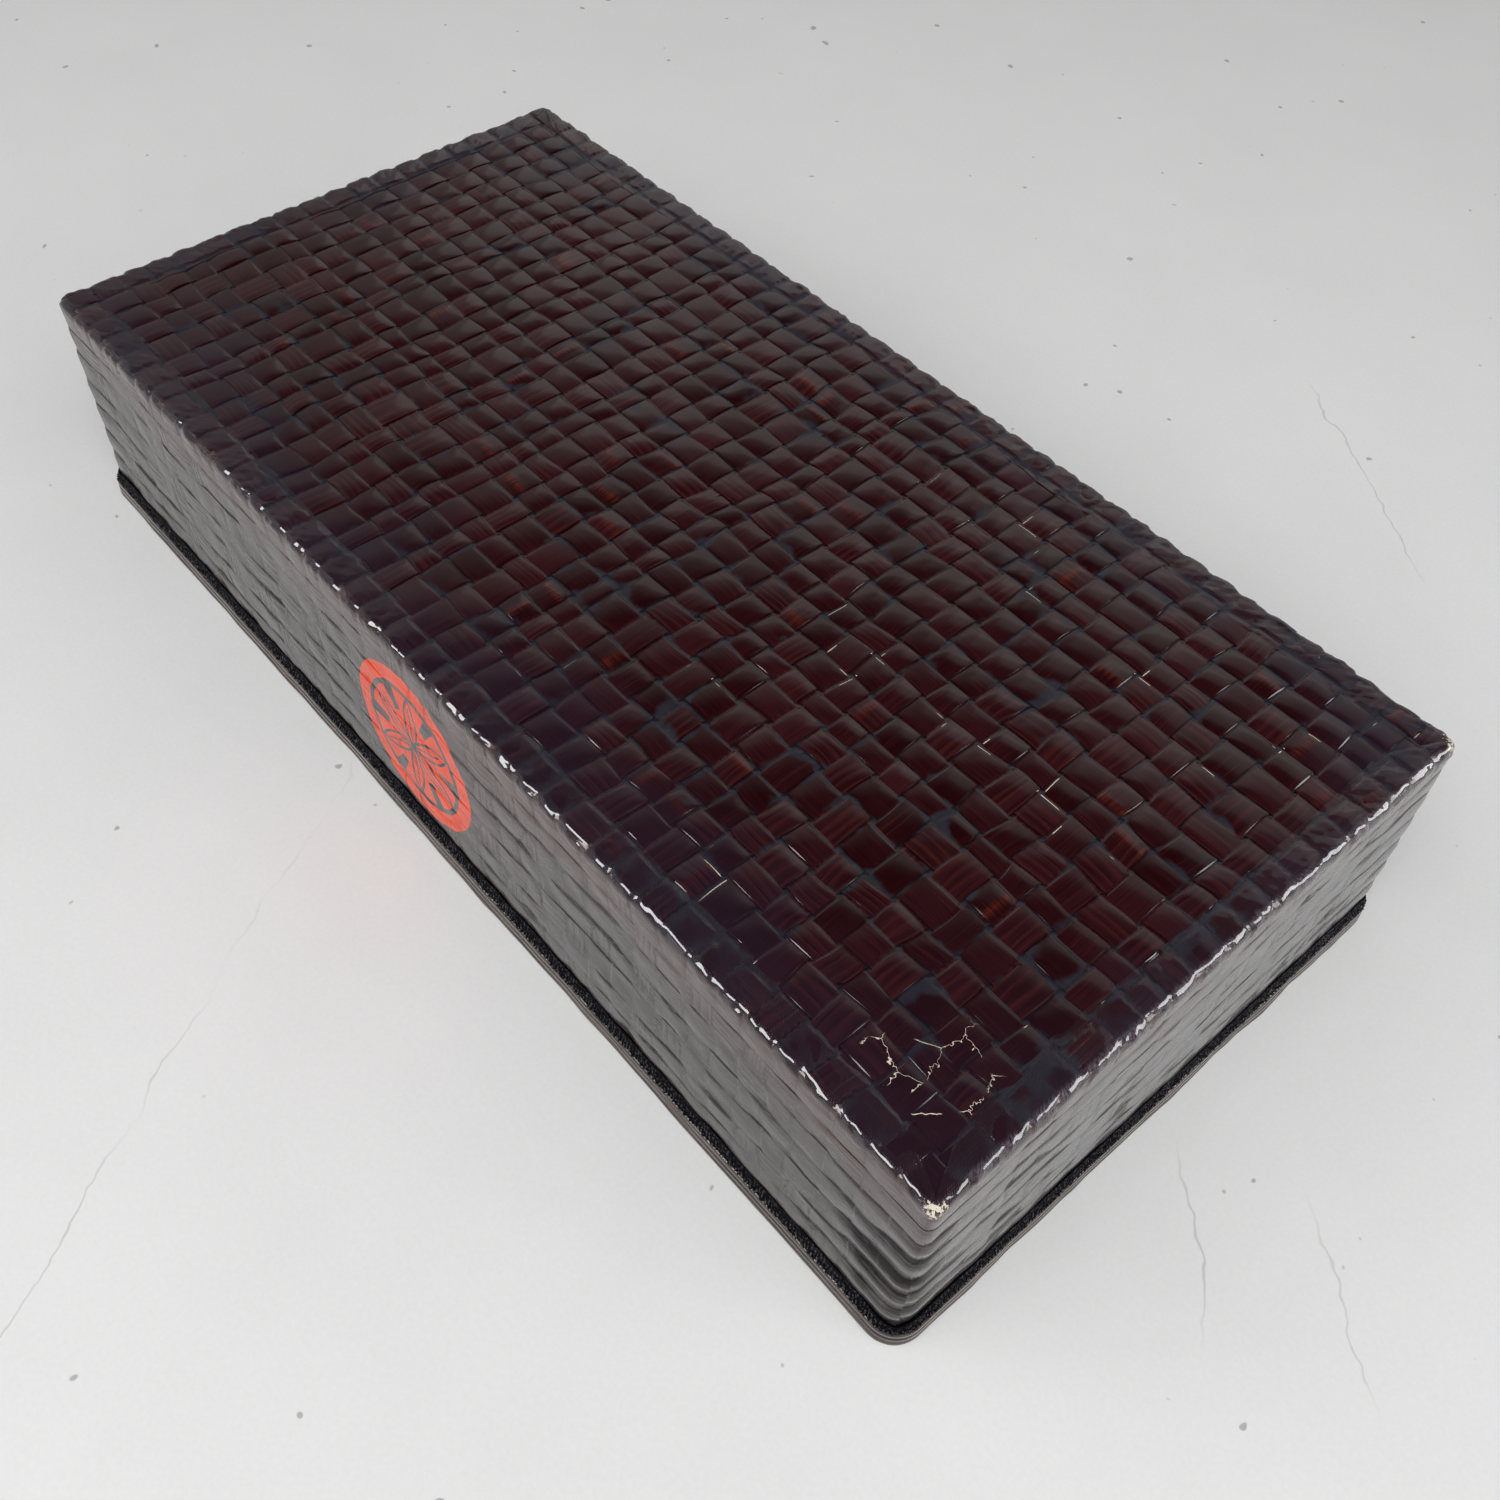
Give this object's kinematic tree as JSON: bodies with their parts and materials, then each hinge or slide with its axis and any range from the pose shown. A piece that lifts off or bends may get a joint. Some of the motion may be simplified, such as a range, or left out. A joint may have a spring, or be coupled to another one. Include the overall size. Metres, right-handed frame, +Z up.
{
  "type": "woven storage basket",
  "caption": "Long shallow storage basket of lacquered plain-woven bamboo, with a full-depth lid that slides down over the whole base and lifts off.",
  "frame": {"origin": "middle of the footprint, on the floor that the basket stands on", "axes": "+X along the length, +Y across the width away from the painted long side, +Z up out of the base's mouth"},
  "size_m": [0.897, 0.45, 0.178],
  "materials": {
    "lacquered_weave": "glossy red-brown to black lacquer over plain-woven bamboo strips",
    "lacquered_hoop": "glossy black-brown lacquer over split bamboo",
    "rim_cloth": "open hemp cloth set in black lacquer",
    "edge_cloth": "hemp cloth under glossy dark lacquer, worn along the edge",
    "lining_paper": "persimmon-tanned paper, matt",
    "bare_bamboo": "split bamboo, oiled",
    "vermilion_paint": "vermilion lacquer painted over the weave"
  },
  "bodies": {
    "base": {"base_woven_shell": "lacquered_weave", "base_paper_lining": "lining_paper", "base_outer_hoop": "lacquered_hoop", "base_inner_hoop": "lacquered_hoop", "base_rim_cloth": "rim_cloth", "base_edge_cloth_front": "edge_cloth", "base_edge_cloth_back": "edge_cloth", "base_edge_cloth_left": "edge_cloth", "base_edge_cloth_right": "edge_cloth", "base_rim_peg_01": "bare_bamboo", "base_rim_peg_02": "bare_bamboo", "base_rim_peg_03": "bare_bamboo", "base_rim_peg_04": "bare_bamboo", "base_rim_peg_05": "bare_bamboo", "base_rim_peg_06": "bare_bamboo", "base_rim_peg_07": "bare_bamboo", "base_rim_peg_08": "bare_bamboo", "base_rim_peg_09": "bare_bamboo", "base_rim_peg_10": "bare_bamboo", "base_batten_1": "bare_bamboo", "base_batten_2": "bare_bamboo", "base_batten_3": "bare_bamboo", "base_batten_4": "bare_bamboo"},
    "lid": {"lid_woven_shell": "lacquered_weave", "lid_paper_lining": "lining_paper", "lid_outer_hoop": "lacquered_hoop", "lid_inner_hoop": "lacquered_hoop", "lid_rim_cloth": "rim_cloth", "lid_edge_cloth_front": "edge_cloth", "lid_edge_cloth_back": "edge_cloth", "lid_edge_cloth_left": "edge_cloth", "lid_edge_cloth_right": "edge_cloth", "lid_rim_peg_01": "bare_bamboo", "lid_rim_peg_02": "bare_bamboo", "lid_rim_peg_03": "bare_bamboo", "lid_rim_peg_04": "bare_bamboo", "lid_rim_peg_05": "bare_bamboo", "lid_rim_peg_06": "bare_bamboo", "lid_rim_peg_07": "bare_bamboo", "lid_rim_peg_08": "bare_bamboo", "lid_rim_peg_09": "bare_bamboo", "lid_rim_peg_10": "bare_bamboo"}
  },
  "joints": [
    {"name": "lid_lift", "type": "slide", "parent": "base", "child": "lid", "axis": [0, 0, 1], "range_m": [0, 0.21]}
  ]
}
